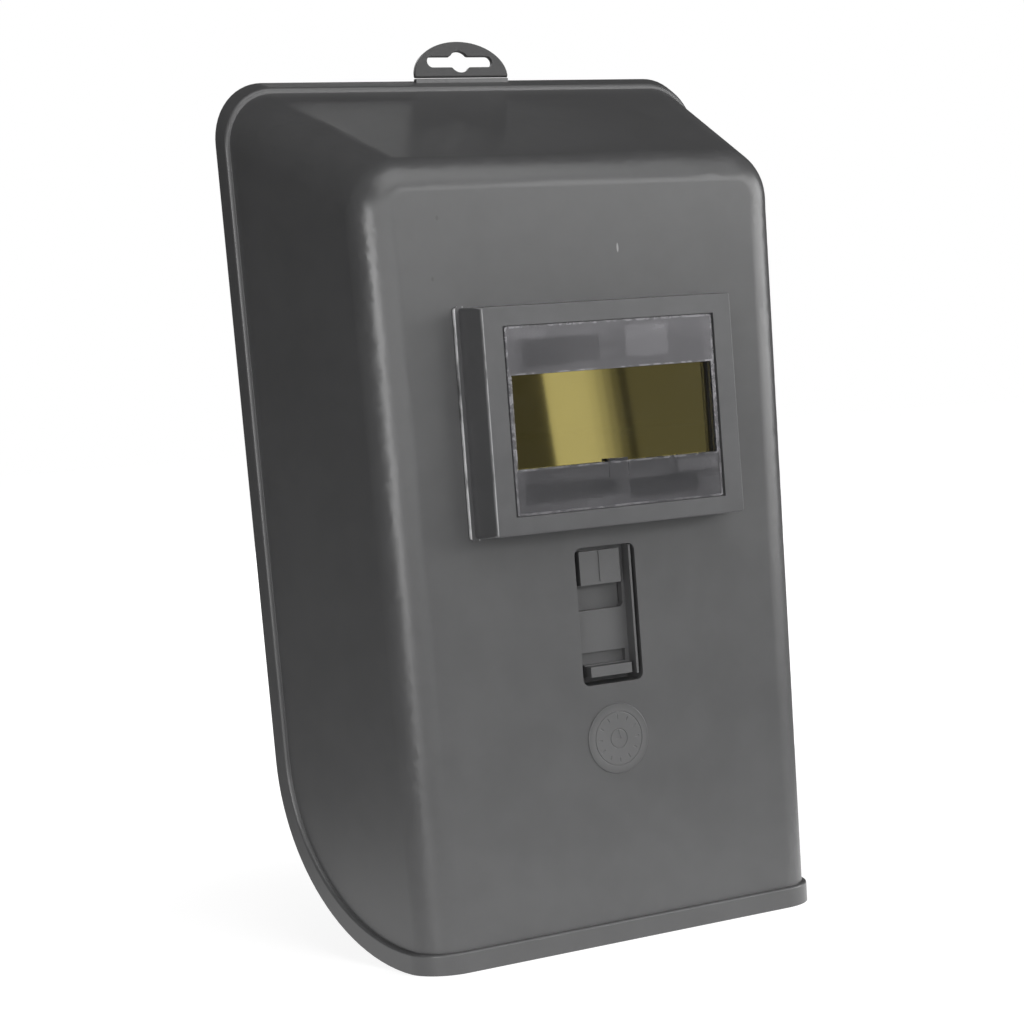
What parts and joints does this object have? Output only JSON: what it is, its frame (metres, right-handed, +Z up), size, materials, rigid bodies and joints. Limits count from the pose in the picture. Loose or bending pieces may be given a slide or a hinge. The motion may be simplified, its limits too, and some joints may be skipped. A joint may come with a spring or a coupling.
{
  "type": "hand-held welding shield",
  "caption": "Dark grey tub-shaped hand shield for welding with a glazed window box, a hinged glass retainer, a plug-in grip with a sprung catch and a folding hang tab.",
  "frame": {"origin": "centre of the shield's footprint, at the height of its lower edge", "axes": "+Z up as the shield is held, -Y out of the front face towards the weld, +X to the right seen from the front"},
  "size_m": [0.236, 0.1114, 0.3822],
  "materials": {
    "shell_plastic": "satin moulded polypropylene, dark grey",
    "housing_plastic": "satin moulded plastic, dark grey",
    "grip_plastic": "satin moulded plastic, dark grey",
    "clear_cover": "clear polycarbonate",
    "filter_glass": "dark olive-gold filter glass",
    "inner_glass": "clear glass",
    "black_gasket": "black foam rubber",
    "zinc_screw": "bright zinc plate",
    "pin_steel": "drawn steel"
  },
  "bodies": {
    "shield": {"shell": "shell_plastic", "window_housing": "housing_plastic", "cover_plate": "clear_cover", "lens_gasket": "black_gasket", "filter_glass": "filter_glass", "inner_plate": "inner_glass", "inner_frame": "housing_plastic", "frame_screws": "zinc_screw", "retainer_pins": "pin_steel", "grip_foot": "grip_plastic", "foot_screws": "zinc_screw", "catch_spring": "pin_steel", "grip_left": "grip_plastic", "grip_right": "grip_plastic", "grip_bolts": "zinc_screw", "grip_nuts": "zinc_screw"},
    "hang_tab": {"hang_tab": "shell_plastic"},
    "retainer": {"retainer_frame": "housing_plastic", "retainer_pads": "black_gasket"},
    "catch": {"catch_slider": "grip_plastic"}
  },
  "joints": [
    {"name": "hang_tab_fold", "type": "hinge", "parent": "shield", "child": "hang_tab", "pos_m": [0, 0.05188, 0.36729], "axis": [1, 0, 0], "range_deg": [-20, 100]},
    {"name": "retainer_swing", "type": "hinge", "parent": "shield", "child": "retainer", "pos_m": [0, -0.03102, 0.2651], "axis": [1, 0, 0], "range_deg": [0, 100]},
    {"name": "catch_slide", "type": "slide", "parent": "shield", "child": "catch", "axis": [0, 0, -1], "range_m": [0, 0.009], "stiffness_N_per_m": 250, "springref_m": -0.004, "deforming": ["catch_spring"]}
  ]
}
